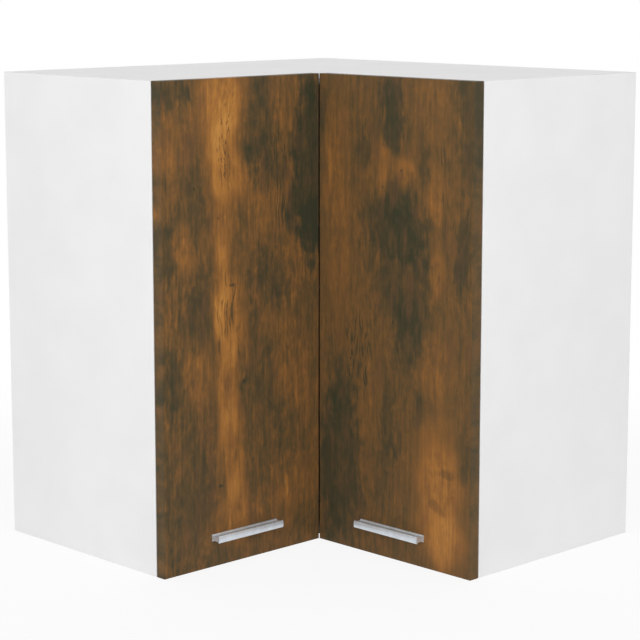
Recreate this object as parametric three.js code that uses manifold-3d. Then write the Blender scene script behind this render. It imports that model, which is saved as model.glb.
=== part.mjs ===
// Corner wall cabinet: L-shaped in plan, with a right-angled recess in front and two doors,
// each on two concealed cup hinges at its outer end panel.
// Millimetres, +Z up. Origin: the middle of the bounding box, on its base. One wall stands at the
// lowest x, the other at the highest y, and the recess opens towards +x and -y.

import * as THREE from 'three';
import { mergeVertices } from 'three/addons/utils/BufferGeometryUtils.js';
import Module from 'manifold-3d';

// ---- Driving dimensions: cabinet ----
const sideLength = 570; // along each wall, from the wall corner's far side to an end panel's outer face
const cabinetHeight = 600;
const cabinetDepth = 310; // from a wall to the front of the doors
const boardThickness = 15;
const doorThickness = 15;
const backThickness = 3;
const edgeBreak = 0.5; // chamfer on every board edge
const boardJoint = 0.2; // between two boards that butt
const doorGap = 1.2; // between an end panel's front edge and the door's back
const cornerGap = 1.2; // between a door's inner edge and the plane of the other door's front

const backInset = 2.5; // back sheets, in from the end panels' outer faces
const backBottom = 9; // back sheets' lower edge, above the base
const backTopDrop = 75; // back sheets' upper edge, below the top
const stileWidth = 100;
const railHeight = 100;
const railHoleRadius = 4;
const railHoleInset = 60; // wall screw holes, in from a rail's ends
const railHoleDrop = 40; // and below its upper edge

// ---- Shelf and its pins ----
const shelfHeight = 292; // underside above the base
const shelfSetback = 20; // from the carcass's front edge
const shelfEndGap = 1.6; // to an end panel and to the stile
const shelfBackGap = 1; // to the back sheets
const pinRadius = 2.5;
const pinReach = 8; // into the board, and out of it
const pinCollarRadius = 3.4;
const pinCollarLength = 1.2;
const pinHoleClearance = 0.3;
const pinHoleFloor = 0.5; // left free at a hole's end
const pinSeat = 0.1; // between pin and shelf
const pinRowInset = 60; // pin rows, from an end panel's front and rear edges
const pinPitch = 32;
const pinStepsEachWay = 2; // spare holes above and below the pin

// ---- Bar handle ----
const handleLength = 108;
const handleHeight = 37; // its middle, above the door's lower edge
const rearFlangeHeight = 8.5;
const rearFlangeThickness = 2;
const frontFlangeHeight = 9;
const frontFlangeThickness = 2.5;
const handleWebHeight = 6;
const handleReach = 14; // door face to handle front
const handleEdgeRadius = 0.8;
const handleScrewSpacing = 96;
const handleScrewRadius = 2;
const handleScrewBite = 7; // into the handle
const handleScrewHead = { radius: 4.2, height: 2.2 };
const handleSeat = 0.1;

// ---- Concealed hinge: cup side ----
const hingeInset = 95; // hinge axis plane, from the cabinet's top and base
const cupCentre = 21; // from the door's outer edge
const cupRadius = 17.2;
const cupWall = 0.7;
const cupDepth = 11.5;
const cupFlangeRadius = 19;
const cupFlangeThickness = 0.8;
const cupPocketClearance = 0.3;
const cupEarSpacing = 48;
const cupEarOffset = 6; // ears, further from the door's edge than the cup
const cupEarRadius = 5.2;
const cupPinRadius = 0.9;

// ---- Concealed hinge: four pivots, closed ----
// Arm pivots lie at (above the end panel's inner face, ahead of its front edge), cup pivots at
// (from the door's outer edge, into the door from its back).
const outerArmPivot = { rise: 26.25, ahead: -13.6 };
const innerArmPivot = { rise: 6.95, ahead: 4 };
const outerCupPivot = { inset: 8.7, into: 1.05 };
const innerCupPivot = { inset: 9, into: 4.65 };

// ---- Concealed hinge: arm, links and plate ----
const sheet = 1.2; // steel of the arm and the links
const layerGap = 0.4; // between neighbouring layers of the hinge, across it
const innerLinkHalfWidth = 3.2;
const innerStripHalf = 1.3; // half the width of the inner link's strip
const outerStripHalf = 1.9;
const armPinRadius = 1.1;
const pivotClearance = 0.2;
const openPivotClearance = 0.9; // inner link on its cup pin
const outerCupEye = 2;
const innerCupEye = 2.8;
const innerArmEye = 2.3;
const noseRadius = 3.1; // arm's nose round the outer arm pivot
const saddleGap = 0.5;
const saddleFrom = -20; // degrees round the outer arm pivot
const saddleTo = 50;
const armRearHalfWidth = 8.5;
const armRise = 13.5; // arm's back above the end panel's inner face
const armLift = 3.2; // arm's lower edge above it
const armEnd = 62; // arm's rear end, behind the panel's front edge
const armShoulder = 28; // where its back starts to rise
const noseRoot = 34; // rear end of the nose's walls
const armSlot = { radius: 2.6, length: 7, behind: 52 };
const armScrewHole = { radius: 2.2, behind: 38 };
const plateScrewLine = 37; // behind the panel's front edge
const plateScrewSpacing = 32;
const plateThickness = 2;
const plateWingLength = 48;
const plateWingWidth = 15;
const plateBarEnd = 60; // rear end of the plate's bar, behind the panel's front edge
const plateBarGap = 1; // between the bar and the roots of the nose's walls
const plateSeat = 0.1;

// ---- Wood screws of the hinges ----
const woodScrew = { shank: 1.75, headRadius: 3.6, headHeight: 2.1, length: 12 };
const screwClearance = 0.3;
const screwSeat = 0.1;

const roundSides = 24; // faces round a cup
const smallSides = 10; // faces round a shelf pin or a drilled hole
const thinSides = 8; // faces round a hinge pin, a screw or a blind hole
const eyeSides = 12;
const bendSamples = 6; // along a bent link

// ---- Places worked out from them ----
const half = sideLength / 2;
const middle = cabinetHeight / 2;
const frontEdge = -half + cabinetDepth - doorThickness - doorGap; // carcass front, across either wall
const rearEdge = -half + backThickness + boardJoint; // carcass rear edge, across either wall
const panelDepth = frontEdge - rearEdge;
const innerTop = cabinetHeight - boardThickness;
const doorFace = doorGap + doorThickness;
const doorWidth = sideLength - cabinetDepth - cornerGap;
const pinHeight = shelfHeight - pinSeat - pinRadius;

const point = (x, y) => new THREE.Vector2(x, y);
const outerArm = point(boardThickness + outerArmPivot.rise, outerArmPivot.ahead);
const innerArm = point(boardThickness + innerArmPivot.rise, innerArmPivot.ahead);
const outerCup = point(outerCupPivot.inset, doorGap + outerCupPivot.into);
const innerCup = point(innerCupPivot.inset, doorGap + innerCupPivot.into);

// ---- Finishes ----
const finish = (color, roughness, metalness = 0) =>
  new THREE.MeshStandardMaterial({ color, roughness, metalness });
const whiteBoard = finish(0xf1f1ef, 0.5);
const backSheet = finish(0xe2e2e0, 0.6);
const woodDecor = finish(0x5b4129, 0.55);
const aluminium = finish(0xc9cbcf, 0.28, 1);
const hingeSteel = finish(0xb4b7ba, 0.3, 1);
const screwSteel = finish(0xa9adb2, 0.35, 1);

// ---- Geometry helpers ----
const wasm = await Module();
wasm.setup();

function solidOf(geometry) {
  const bare = geometry.clone();
  bare.deleteAttribute('normal');
  bare.deleteAttribute('uv');
  const welded = mergeVertices(bare, 1e-4);
  return new wasm.Manifold(new wasm.Mesh({
    numProp: 3,
    vertProperties: new Float32Array(welded.attributes.position.array),
    triVerts: new Uint32Array(welded.index.array),
  }));
}

function geometryOf(solid) {
  const mesh = solid.getMesh();
  const geometry = new THREE.BufferGeometry();
  geometry.setAttribute('position', new THREE.BufferAttribute(mesh.vertProperties, mesh.numProp));
  geometry.setIndex(new THREE.BufferAttribute(mesh.triVerts, 1));
  return geometry;
}

const joined = (first, ...others) =>
  geometryOf(others.reduce((solid, other) => solid.add(solidOf(other)), solidOf(first)));

const carved = (body, ...tools) =>
  geometryOf(tools.reduce((solid, tool) => solid.subtract(solidOf(tool)), solidOf(body)));

const common = (body, tool) => geometryOf(solidOf(body).intersect(solidOf(tool)));

const axisX = new THREE.Vector3(1, 0, 0);
const axisY = new THREE.Vector3(0, 1, 0);
const axisZ = new THREE.Vector3(0, 0, 1);

// A shape drawn in (y, z) and extruded towards +x, or drawn in (z, x) and extruded towards +y.
const alongX = (geometry) =>
  geometry.applyMatrix4(new THREE.Matrix4().makeBasis(axisY, axisZ, axisX));
const alongY = (geometry) =>
  geometry.applyMatrix4(new THREE.Matrix4().makeBasis(axisZ, axisX, axisY));

function prism(shape, from, to, curveSegments = smallSides / 2) {
  const options = { depth: to - from, bevelEnabled: false, curveSegments };
  return new THREE.ExtrudeGeometry(shape, options).translate(0, 0, from);
}

function rectangle(fromA, fromB, toA, toB) {
  return new THREE.Shape([point(fromA, fromB), point(toA, fromB), point(toA, toB), point(fromA, toB)]);
}

function roundHole(a, b, radius) {
  return new THREE.Path().absarc(a, b, radius, 0, 2 * Math.PI, true);
}

// A board with chamfered edges: the shape is its full outline.
function board(shape, thickness) {
  const options = {
    depth: thickness - 2 * edgeBreak,
    bevelThickness: edgeBreak,
    bevelSize: edgeBreak,
    bevelOffset: -edgeBreak,
    bevelSegments: 1,
    curveSegments: smallSides / 2,
  };
  return new THREE.ExtrudeGeometry(shape, options).translate(0, 0, edgeBreak);
}

// A straight rod between two points.
function rod(radius, from, to, sides = smallSides) {
  const start = new THREE.Vector3(...from);
  const run = new THREE.Vector3(...to).sub(start);
  const turn = new THREE.Quaternion().setFromUnitVectors(axisY, run.clone().normalize());
  const centre = run.clone().multiplyScalar(0.5).add(start);
  return new THREE.CylinderGeometry(radius, radius, run.length(), sides)
    .applyQuaternion(turn)
    .translate(centre.x, centre.y, centre.z);
}

// A rod across the hinge, along z, at a pivot.
const crossRod = (radius, pivot, from, to, sides = thinSides) =>
  rod(radius, [pivot.x, pivot.y, from], [pivot.x, pivot.y, to], sides);

function named(name, geometry, material) {
  const mesh = new THREE.Mesh(geometry, material);
  mesh.name = name;
  return mesh;
}

// ---- Boards between the walls ----

// L-shaped outline in plan: set in from the walls and from the arms' ends, with its front at `front`.
function cornerShape(fromWall, fromEnd, front) {
  return new THREE.Shape([
    point(-half + fromWall, -half + fromEnd),
    point(front, -half + fromEnd),
    point(front, -front),
    point(half - fromEnd, -front),
    point(half - fromEnd, half - fromWall),
    point(-half + fromWall, half - fromWall),
  ]);
}

function cornerPanel() {
  const fromEnd = boardThickness + boardJoint;
  return board(cornerShape(half + rearEdge, fromEnd, frontEdge), boardThickness);
}

// The shelf follows the bottom panel with a setback in front, and is notched round the stile.
function shelf() {
  const fromWall = backThickness + shelfBackGap;
  const fromEnd = boardThickness + shelfEndGap;
  const wall = -half + fromWall;
  const front = frontEdge - shelfSetback;
  const stileFace = rearEdge + boardThickness + shelfEndGap;
  const stileSide = -rearEdge - stileWidth - shelfEndGap;
  const outline = new THREE.Shape([
    point(wall, -half + fromEnd),
    point(front, -half + fromEnd),
    point(front, -front),
    point(half - fromEnd, -front),
    point(half - fromEnd, half - fromWall),
    point(stileFace, half - fromWall),
    point(stileFace, stileSide),
    point(wall, stileSide),
  ]);
  return board(outline, boardThickness);
}

// Upright board in the wall corner: both back sheets are fixed to it.
function cornerStile() {
  const bottom = boardThickness + boardJoint;
  const top = innerTop - boardJoint;
  const outline = rectangle(-rearEdge - stileWidth, bottom, -rearEdge, top);
  const stile = alongX(board(outline, boardThickness));
  const pinPlace = -rearEdge - stileWidth / 2;
  const holes = pinHeights().map((z) => pinHole(boardThickness, pinPlace, z));
  return carved(stile, ...holes);
}

// Hanging rail from `from` to `to` along its wall, drawn in (along, up).
function hangingRail(from, to) {
  const top = innerTop - boardJoint;
  const outline = rectangle(from, top - railHeight, to, top);
  for (const place of [from + railHoleInset, to - railHoleInset]) {
    outline.holes.push(roundHole(place, top - railHoleDrop, railHoleRadius));
  }
  return board(outline, boardThickness);
}

// Thin back sheet along one wall, drawn in (along, up).
function backPanel(from, to) {
  return prism(rectangle(from, backBottom, to, cabinetHeight - backTopDrop), 0, backThickness);
}

// ---- Shelf pins ----

function pinHeights() {
  const steps = [];
  for (let step = -pinStepsEachWay; step <= pinStepsEachWay; step += 1) {
    steps.push(pinHeight + step * pinPitch);
  }
  return steps;
}

// Blind hole towards -x, from the face at `face`.
function pinHole(face, y, z) {
  const depth = pinReach + pinHoleFloor;
  return rod(
    pinRadius + pinHoleClearance, [face - depth, y, z], [face + pinHoleFloor, y, z], thinSides);
}

// Pin along +x, with its collar's back at the board's face.
function shelfPin() {
  const profile = [
    point(0, -pinReach),
    point(pinRadius, -pinReach),
    point(pinRadius, boardJoint),
    point(pinCollarRadius, boardJoint),
    point(pinCollarRadius, pinCollarLength),
    point(pinRadius, pinCollarLength),
    point(pinRadius, pinReach),
    point(0, pinReach),
  ];
  return new THREE.LatheGeometry(profile, smallSides).rotateZ(-Math.PI / 2);
}

// ---- Wings: end panel, door, handle and hinges ----
// Each wing is drawn in its own frame: x in from the end panel's outer face, y ahead of its front
// edge, z from the cabinet's middle height. `up` is the sign of z that points up in the room.

function endPanel(up) {
  const panel = alongX(board(rectangle(-panelDepth, -middle, 0, middle), boardThickness));
  const pinRows = [-pinRowInset, pinRowInset - panelDepth];
  const pinHoles = pinRows.flatMap((y) =>
    pinHeights().map((height) => pinHole(boardThickness, y, up * (height - middle))));
  const screwHoles = hingeHeights().flatMap((z) =>
    plateScrewPlaces().map((dz) => rod(
      woodScrew.shank + screwClearance,
      [boardThickness - woodScrew.length, -plateScrewLine, z + dz],
      [boardThickness + screwClearance, -plateScrewLine, z + dz], thinSides)));
  return carved(panel, ...pinHoles, ...screwHoles);
}

const hingeHeights = () => [hingeInset - middle, middle - hingeInset];
const plateScrewPlaces = () => [-plateScrewSpacing / 2, plateScrewSpacing / 2];
const cupScrewPlaces = () => [-cupEarSpacing / 2, cupEarSpacing / 2];
const handleScrewPlaces = () =>
  [doorWidth / 2 - handleScrewSpacing / 2, doorWidth / 2 + handleScrewSpacing / 2];

function door(up) {
  const panel = alongY(board(rectangle(-middle, 0, middle, doorWidth), doorThickness))
    .translate(0, doorGap, 0);
  const handleZ = up * (handleHeight - middle);
  const pockets = hingeHeights().map((z) => rod(
    cupRadius + cupPocketClearance,
    [cupCentre, doorGap - cupPocketClearance, z],
    [cupCentre, doorGap + cupDepth + cupPocketClearance, z], roundSides));
  const pilots = hingeHeights().flatMap((z) => cupScrewPlaces().map((dz) => rod(
    woodScrew.shank + screwClearance,
    [cupCentre + cupEarOffset, doorGap - screwClearance, z + dz],
    [cupCentre + cupEarOffset, doorGap + woodScrew.length, z + dz], thinSides)));
  const bores = handleScrewPlaces().map((x) => rod(
    handleScrewRadius + screwClearance, [x, 0, handleZ], [x, doorFace + doorGap, handleZ]));
  return carved(panel, ...pockets, ...pilots, ...bores);
}

// I-shaped bar: rear flange on the door, web, and a slightly taller front flange with rounded edges.
function handleProfile() {
  const rear = rearFlangeHeight / 2;
  const web = handleWebHeight / 2;
  const front = frontFlangeHeight / 2;
  const grip = handleReach - frontFlangeThickness;
  const r = handleEdgeRadius;
  const outline = new THREE.Shape();
  outline.moveTo(handleSeat, -rear);
  outline.lineTo(rearFlangeThickness, -rear);
  outline.lineTo(rearFlangeThickness, -web);
  outline.lineTo(grip, -web);
  outline.lineTo(grip, -front);
  outline.lineTo(handleReach - r, -front);
  outline.absarc(handleReach - r, -front + r, r, -Math.PI / 2, 0, false);
  outline.absarc(handleReach - r, front - r, r, 0, Math.PI / 2, false);
  outline.lineTo(grip, front);
  outline.lineTo(grip, web);
  outline.lineTo(rearFlangeThickness, web);
  outline.lineTo(rearFlangeThickness, rear);
  outline.lineTo(handleSeat, rear);
  return outline;
}

// Bar along x, its middle and the door's face at the origin.
function handle() {
  const bar = alongX(prism(handleProfile(), -handleLength / 2, handleLength / 2, 3));
  const bores = [-handleScrewSpacing / 2, handleScrewSpacing / 2].map((x) => rod(
    handleScrewRadius + screwClearance, [x, -handleSeat, 0], [x, handleScrewBite + screwClearance, 0]));
  return carved(bar, ...bores);
}

// Screw pointing along +y, the underside of its head at y = 0.
function screw(headRadius, headHeight, shank, length) {
  const tip = shank * 1.5;
  const crown = headRadius * 0.6;
  const profile = [
    point(0, -headHeight),
    point(crown, -headHeight),
    point(headRadius, -headHeight / 2),
    point(headRadius, 0),
    point(shank, 0),
    point(shank, length - tip),
    point(0, length),
  ];
  return new THREE.LatheGeometry(profile, thinSides);
}

const hingeScrew = () => screw(
  woodScrew.headRadius, woodScrew.headHeight, woodScrew.shank, woodScrew.length - screwClearance);

// ---- Hinge cup ----

function cupBowl() {
  const inside = cupRadius - cupWall;
  const profile = [
    point(0, cupDepth - cupWall),
    point(inside, cupDepth - cupWall),
    point(inside, -cupFlangeThickness),
    point(cupFlangeRadius, -cupFlangeThickness),
    point(cupFlangeRadius, 0),
    point(cupRadius, 0),
    point(cupRadius, cupDepth - cupWall),
    point(cupRadius - cupWall, cupDepth),
    point(0, cupDepth),
  ];
  return new THREE.LatheGeometry(profile, roundSides).translate(cupCentre, doorGap, 0);
}

// Ears with the screw holes, drawn in (z, x): a rounded bar beside the cup's middle.
function cupEars() {
  const reach = cupEarSpacing / 2;
  const x = cupCentre + cupEarOffset;
  const outline = new THREE.Shape();
  outline.absarc(reach, x, cupEarRadius, -Math.PI / 2, Math.PI / 2, false);
  outline.absarc(-reach, x, cupEarRadius, Math.PI / 2, 1.5 * Math.PI, false);
  for (const place of cupScrewPlaces()) {
    outline.holes.push(roundHole(place, x, woodScrew.shank + screwClearance));
  }
  const ears = alongY(prism(outline, doorGap - cupFlangeThickness, doorGap));
  const mouth = rod(
    cupRadius - cupWall / 2, [cupCentre, -doorGap, 0], [cupCentre, 2 * doorGap, 0], roundSides);
  return carved(ears, mouth);
}

// The inner pin crosses the whole cup; the outer pin is two stubs, clear of the inner link and arm.
function cupPins() {
  const across = cupRadius;
  const stubFrom = innerLinkHalfWidth + sheet + layerGap * 1.5;
  const wallCore = rod(
    cupRadius - cupWall / 2, [cupCentre, doorGap, 0], [cupCentre, doorGap + cupDepth, 0], roundSides);
  const pins = [
    crossRod(cupPinRadius, innerCup, -across, across),
    crossRod(cupPinRadius, outerCup, stubFrom, across),
    crossRod(cupPinRadius, outerCup, -across, -stubFrom),
  ];
  return pins.map((pin) => common(pin, wallCore));
}

const hingeCup = () => joined(cupBowl(), cupEars(), ...cupPins());

// ---- Hinge links ----

// Outline of a strip of constant width with round ends, along a smooth line through the points.
function stripShape(points, halfWidth) {
  const line = new THREE.CatmullRomCurve3(points.map((p) => new THREE.Vector3(p.x, p.y, 0)));
  const left = [];
  const right = [];
  for (let step = 0; step <= bendSamples; step += 1) {
    const at = line.getPoint(step / bendSamples);
    const along = line.getTangent(step / bendSamples);
    left.push(point(at.x - along.y * halfWidth, at.y + along.x * halfWidth));
    right.push(point(at.x + along.y * halfWidth, at.y - along.x * halfWidth));
  }
  return new THREE.Shape([...right, ...left.reverse()]);
}

// Bent strip with an eye at each end: { at, radius, bore } for each eye.
function link(points, halfWidth, eyes, from, to) {
  const strip = prism(stripShape(points, halfWidth), from, to);
  const bosses = eyes.map((eye) => crossRod(eye.radius, eye.at, from, to, eyeSides));
  const bores = eyes.map((eye) => crossRod(eye.bore, eye.at, from - 1, to + 1, eyeSides));
  return carved(joined(strip, ...bosses), ...bores);
}

// The inner link bends round the cup's rim, deep into the cup.
function innerLink() {
  const bend = [
    innerCup,
    point(innerCup.x + 3.3, innerCup.y + 3.65),
    point(innerArm.x - 4.75, innerCup.y + 4.25),
    point(innerArm.x - 1.15, innerArm.y + 4.2),
    innerArm,
  ];
  const eyes = [
    { at: innerCup, radius: innerCupEye, bore: cupPinRadius + openPivotClearance },
    { at: innerArm, radius: innerArmEye, bore: armPinRadius + pivotClearance },
  ];
  return link(bend, innerStripHalf, eyes, -innerLinkHalfWidth, innerLinkHalfWidth);
}

const noseHalfWidth = innerLinkHalfWidth + layerGap + sheet;
const outerLinkHalfWidth = noseHalfWidth + layerGap + sheet;

// The outer link is a pair of strips outside the arm's nose, bridged by a saddle over its pivot.
function outerLink() {
  const bend = [
    outerCup,
    point(outerCup.x + 5.5, outerCup.y + 1.95),
    point(outerCup.x + 11.3, outerCup.y + 1.15),
    point(outerArm.x - 11.25, outerArm.y + 9.6),
    outerArm,
  ];
  const saddleInside = noseRadius + saddleGap;
  const saddleOutside = saddleInside + sheet;
  const eyes = [
    { at: outerCup, radius: outerCupEye, bore: cupPinRadius + pivotClearance },
    { at: outerArm, radius: saddleOutside, bore: armPinRadius + pivotClearance },
  ];
  const inside = outerLinkHalfWidth - sheet;
  const strips = [
    link(bend, outerStripHalf, eyes, inside, outerLinkHalfWidth),
    link(bend, outerStripHalf, eyes, -outerLinkHalfWidth, -inside),
  ];
  const fromAngle = THREE.MathUtils.degToRad(saddleFrom);
  const toAngle = THREE.MathUtils.degToRad(saddleTo);
  const saddle = new THREE.Shape();
  saddle.absarc(outerArm.x, outerArm.y, saddleOutside, fromAngle, toAngle, false);
  saddle.absarc(outerArm.x, outerArm.y, saddleInside, toAngle, fromAngle, true);
  return joined(...strips, prism(saddle, -outerLinkHalfWidth, outerLinkHalfWidth, 3));
}

// ---- Hinge arm ----

const armBack = boardThickness + armRise;
const armEdge = boardThickness + armLift;

// Side outline of the arm's nose: round both pivots, rising from the arm's back.
function noseShape() {
  const between = outerArm.clone().sub(innerArm);
  const lean = Math.atan2(between.y, between.x);
  const shoulder = point(armBack, -armShoulder);
  const rise = outerArm.clone().sub(shoulder);
  const climb = Math.atan2(rise.y, rise.x);
  const outline = new THREE.Shape();
  outline.moveTo(armEdge, -noseRoot);
  outline.lineTo(armBack, -noseRoot);
  outline.lineTo(armBack, -armShoulder);
  outline.absarc(outerArm.x, outerArm.y, noseRadius, climb - Math.PI / 2, lean + Math.PI / 2, false);
  outline.absarc(innerArm.x, innerArm.y, innerArmEye, lean + Math.PI / 2, Math.PI * 1.1, false);
  outline.lineTo(armEdge, -innerArmEye);
  return outline;
}

// Room between the nose's walls, open below and ahead; the sloping back stays as the channel's web.
function noseRoom() {
  const shoulder = point(armBack - sheet, -armShoulder);
  const crest = point(outerArm.x - sheet, outerArm.y - noseRadius);
  return new THREE.Shape([
    point(0, -noseRoot - sheet),
    point(armBack - sheet, -noseRoot - sheet),
    shoulder,
    crest,
    point(outerArm.x + 2 * noseRadius, outerArm.y - noseRadius),
    point(outerArm.x + 2 * noseRadius, outerCup.y + cupDepth),
    point(0, outerCup.y + cupDepth),
  ]);
}

function armNose() {
  const nose = prism(noseShape(), -noseHalfWidth, noseHalfWidth, 4);
  const roomHalf = noseHalfWidth - sheet;
  return carved(nose, prism(noseRoom(), -roomHalf, roomHalf));
}

// Rear channel over the mounting plate, with its slot and its adjusting hole.
function armChannel() {
  const body = prism(
    rectangle(armEdge, -armEnd, armBack, -armShoulder), -armRearHalfWidth, armRearHalfWidth);
  const roomHalf = armRearHalfWidth - sheet;
  const room = prism(
    rectangle(armEdge - sheet, -armEnd - sheet, armBack - sheet, sheet - armShoulder), -roomHalf, roomHalf);
  const slot = new THREE.Shape();
  slot.absarc(-armSlot.behind + armSlot.length / 2, 0, armSlot.radius, -Math.PI / 2, Math.PI / 2, false);
  slot.absarc(-armSlot.behind - armSlot.length / 2, 0, armSlot.radius, Math.PI / 2, 1.5 * Math.PI, false);
  const slotTool = alongX(prism(slot, armBack - 2 * sheet, armBack + sheet, 4));
  const hole = rod(
    armScrewHole.radius,
    [armBack - 2 * sheet, -armScrewHole.behind, 0], [armBack + sheet, -armScrewHole.behind, 0]);
  return carved(body, room, slotTool, hole);
}

function hingeArm() {
  const pins = [
    crossRod(armPinRadius, outerArm, -outerLinkHalfWidth, outerLinkHalfWidth),
    crossRod(armPinRadius, innerArm, -noseHalfWidth, noseHalfWidth),
  ];
  return joined(armNose(), armChannel(), ...pins);
}

// ---- Mounting plate ----

// Cross-shaped plate screwed to the end panel, with the bar that the arm slides on.
function hingePlate() {
  const wing = plateWingWidth / 2;
  const reach = plateWingLength / 2 - wing;
  const wings = new THREE.Shape();
  wings.absarc(-plateScrewLine, reach, wing, 0, Math.PI, false);
  wings.absarc(-plateScrewLine, -reach, wing, Math.PI, 2 * Math.PI, false);
  for (const place of plateScrewPlaces()) {
    wings.holes.push(roundHole(-plateScrewLine, place, woodScrew.shank + screwClearance));
  }
  const foot = boardThickness + plateSeat;
  const barHalf = armRearHalfWidth - sheet - layerGap;
  const barTop = armBack - sheet - layerGap;
  const base = alongX(prism(wings, foot, foot + plateThickness));
  const barFront = -noseRoot - plateBarGap;
  const bar = alongX(prism(rectangle(-plateBarEnd, -barHalf, barFront, barHalf), foot, barTop));
  const bore = rod(
    armSlot.radius, [foot + plateThickness, -armSlot.behind, 0], [barTop + sheet, -armSlot.behind, 0]);
  return carved(joined(base, bar), bore);
}

// ---- One hinge, at its height in the wing's frame ----

function hinge(name, z) {
  const group = new THREE.Group();
  group.position.z = z;
  group.add(
    named(`${name}_hinge_cup`, hingeCup(), hingeSteel),
    named(`${name}_hinge_arm`, hingeArm(), hingeSteel),
    named(`${name}_hinge_plate`, hingePlate(), hingeSteel),
    named(`${name}_outer_link`, outerLink(), hingeSteel),
    named(`${name}_inner_link`, innerLink(), hingeSteel),
  );
  cupScrewPlaces().forEach((dz, index) => {
    const cupScrew = named(`${name}_cup_screw_${index + 1}`, hingeScrew(), screwSteel);
    cupScrew.position.set(cupCentre + cupEarOffset, doorGap - cupFlangeThickness - screwSeat, dz);
    group.add(cupScrew);
  });
  plateScrewPlaces().forEach((dz, index) => {
    const plateScrew = named(`${name}_plate_screw_${index + 1}`, hingeScrew(), screwSteel);
    plateScrew.rotation.z = Math.PI / 2;
    const head = boardThickness + plateSeat + plateThickness + screwSeat;
    plateScrew.position.set(head, -plateScrewLine, dz);
    group.add(plateScrew);
  });
  return group;
}

// ---- One wing ----

function wing(side, up) {
  const group = new THREE.Group();
  group.add(named(`${side}_end_panel`, endPanel(up), whiteBoard));
  group.add(named(`${side}_door`, door(up), woodDecor));

  const handleZ = up * (handleHeight - middle);
  const bar = named(`${side}_handle`, handle(), aluminium);
  bar.position.set(doorWidth / 2, doorFace, handleZ);
  group.add(bar);
  handleScrewPlaces().forEach((x, index) => {
    const length = doorThickness + screwSeat + handleScrewBite;
    const { radius, height } = handleScrewHead;
    const bolt = named(
      `${side}_handle_screw_${index + 1}`, screw(radius, height, handleScrewRadius, length), screwSteel);
    bolt.position.set(x, doorGap - screwSeat, handleZ);
    group.add(bolt);
  });

  const [first, second] = hingeHeights();
  group.add(hinge(`${side}_lower`, up * first));
  group.add(hinge(`${side}_upper`, up * second));

  [-pinRowInset, pinRowInset - panelDepth].forEach((y, index) => {
    const pin = named(`${side}_shelf_pin_${index + 1}`, shelfPin(), hingeSteel);
    pin.position.set(boardThickness, y, up * (pinHeight - middle));
    group.add(pin);
  });
  return group;
}

// ---- Assembly ----

const cabinet = new THREE.Group();

const bottomPanel = named('bottom_panel', cornerPanel(), whiteBoard);
const topPanel = named('top_panel', cornerPanel(), whiteBoard);
topPanel.position.z = innerTop;
const shelfBoard = named('shelf', shelf(), whiteBoard);
shelfBoard.position.z = shelfHeight;
const stile = named('corner_stile', cornerStile(), whiteBoard);
stile.position.x = rearEdge;
cabinet.add(bottomPanel, topPanel, shelfBoard, stile);

const stilePin = named('corner_shelf_pin', shelfPin(), hingeSteel);
stilePin.position.set(rearEdge + boardThickness, -rearEdge - stileWidth / 2, pinHeight);
cabinet.add(stilePin);

const railEnd = -half + boardThickness + boardJoint;
const leftRail = named(
  'left_hanging_rail', alongX(hangingRail(railEnd, -rearEdge - stileWidth - boardJoint)), whiteBoard);
leftRail.position.x = rearEdge;
const rightRailStart = rearEdge + boardThickness + boardJoint;
const uprightTurn = new THREE.Matrix4().makeBasis(axisX, axisZ, axisY.clone().negate());
const rightRail = named(
  'right_hanging_rail', hangingRail(rightRailStart, -railEnd).applyMatrix4(uprightTurn), whiteBoard);
rightRail.position.y = -rearEdge;
cabinet.add(leftRail, rightRail);

const leftBack = named('left_back_panel', alongX(backPanel(-half + backInset, half)), backSheet);
leftBack.position.x = -half;
const rightBack = named(
  'right_back_panel', backPanel(rearEdge, half - backInset).applyMatrix4(uprightTurn), backSheet);
rightBack.position.y = half;
cabinet.add(leftBack, rightBack);

// The left wing stands on the wall at the lowest x, the right wing on the wall at the highest y.
const leftWing = wing('left', -1);
leftWing.quaternion.setFromRotationMatrix(
  new THREE.Matrix4().makeBasis(axisY, axisX, axisZ.clone().negate()));
leftWing.position.set(frontEdge, -half, middle);
const rightWing = wing('right', 1);
rightWing.rotation.z = Math.PI;
rightWing.position.set(half, -frontEdge, middle);
cabinet.add(leftWing, rightWing);

export default cabinet;
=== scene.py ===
"""Looks of the corner wall cabinet: white boards, smoked-oak doors, aluminium handles, steel hinges."""

import math

import bmesh
import bpy
from mathutils import Matrix, Vector


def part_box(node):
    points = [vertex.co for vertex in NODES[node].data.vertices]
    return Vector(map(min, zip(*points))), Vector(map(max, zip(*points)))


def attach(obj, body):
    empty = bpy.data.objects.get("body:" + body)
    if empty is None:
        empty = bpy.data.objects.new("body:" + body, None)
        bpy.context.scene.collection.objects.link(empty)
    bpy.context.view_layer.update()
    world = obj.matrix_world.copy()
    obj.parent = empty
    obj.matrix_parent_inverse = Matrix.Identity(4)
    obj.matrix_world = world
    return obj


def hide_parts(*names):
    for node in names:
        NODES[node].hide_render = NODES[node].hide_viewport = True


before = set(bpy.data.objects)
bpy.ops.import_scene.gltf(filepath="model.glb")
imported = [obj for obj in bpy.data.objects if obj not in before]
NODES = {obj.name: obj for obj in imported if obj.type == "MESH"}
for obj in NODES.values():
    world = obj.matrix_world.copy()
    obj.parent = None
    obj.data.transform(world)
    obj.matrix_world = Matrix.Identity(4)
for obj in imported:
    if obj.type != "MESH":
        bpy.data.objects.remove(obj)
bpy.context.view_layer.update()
SIDES = ("left", "right")
LEVELS = ("lower", "upper")
MM = 0.001

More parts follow.
